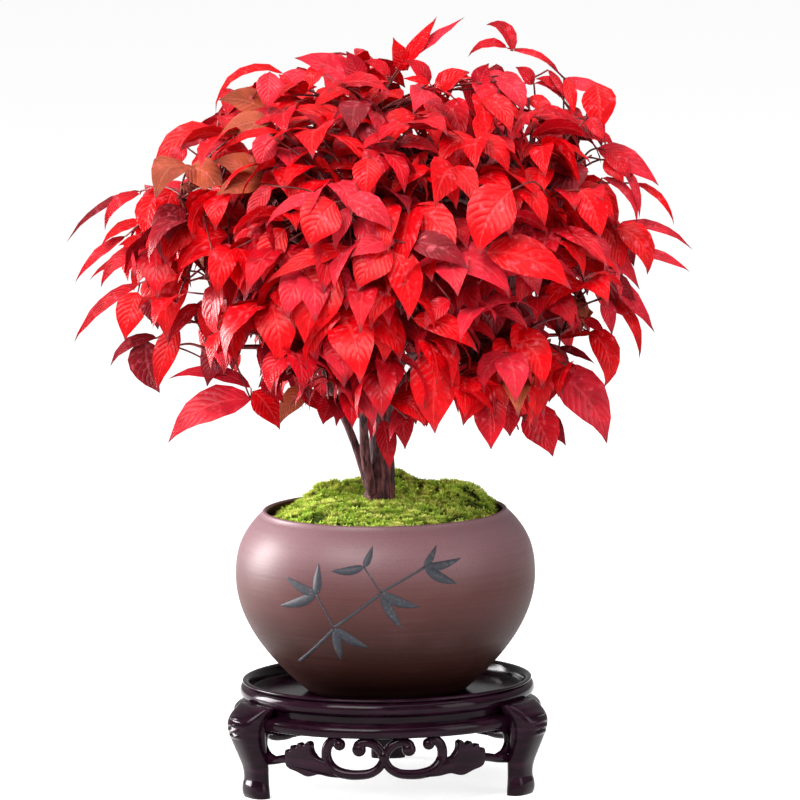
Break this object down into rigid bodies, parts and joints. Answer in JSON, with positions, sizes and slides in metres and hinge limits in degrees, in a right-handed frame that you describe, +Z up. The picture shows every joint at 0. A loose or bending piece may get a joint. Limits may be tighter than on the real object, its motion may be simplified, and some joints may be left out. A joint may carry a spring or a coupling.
{
  "type": "potted firepower heavenly bamboo",
  "caption": "Red-leaved dwarf nandina grown as a bonsai in a round moss-topped clay pot on a dark carved round stand.",
  "frame": {"origin": "middle of the box at the height of the stand's flat feet", "axes": "+Z up along the plant, the pictured front looks towards -Y, and +X is the picture's right"},
  "size_m": [0.4126, 0.3955, 0.5177],
  "materials": {
    "stand_wood": "dark gloss lacquer",
    "clay": "matte unglazed",
    "moss": "rough moss over soil",
    "bark": "rough bark",
    "leaves": "glossy leaf"
  },
  "bodies": {
    "root": {"stand_tray": "stand_wood", "stand_leg_1": "stand_wood", "stand_leg_2": "stand_wood", "stand_leg_3": "stand_wood", "stand_fretwork_1": "stand_wood", "stand_fretwork_2": "stand_wood", "stand_fretwork_3": "stand_wood", "pot": "clay", "moss_mound": "moss", "trunk": "bark", "stem_left": "bark", "stem_middle": "bark", "bough_upper_1": "bark", "bough_upper_2": "bark", "bough_upper_3": "bark", "bough_upper_4": "bark", "bough_upper_5": "bark", "bough_upper_6": "bark", "bough_lower_1": "bark", "bough_lower_2": "bark", "bough_lower_3": "bark", "bough_lower_4": "bark", "bough_lower_5": "bark", "bough_lower_6": "bark", "foliage_top": "leaves", "foliage_upper_1": "leaves", "foliage_upper_2": "leaves", "foliage_upper_3": "leaves", "foliage_upper_4": "leaves", "foliage_upper_5": "leaves", "foliage_upper_6": "leaves", "foliage_lower_1": "leaves", "foliage_lower_2": "leaves", "foliage_lower_3": "leaves", "foliage_lower_4": "leaves", "foliage_lower_5": "leaves", "foliage_lower_6": "leaves"}
  },
  "joints": []
}
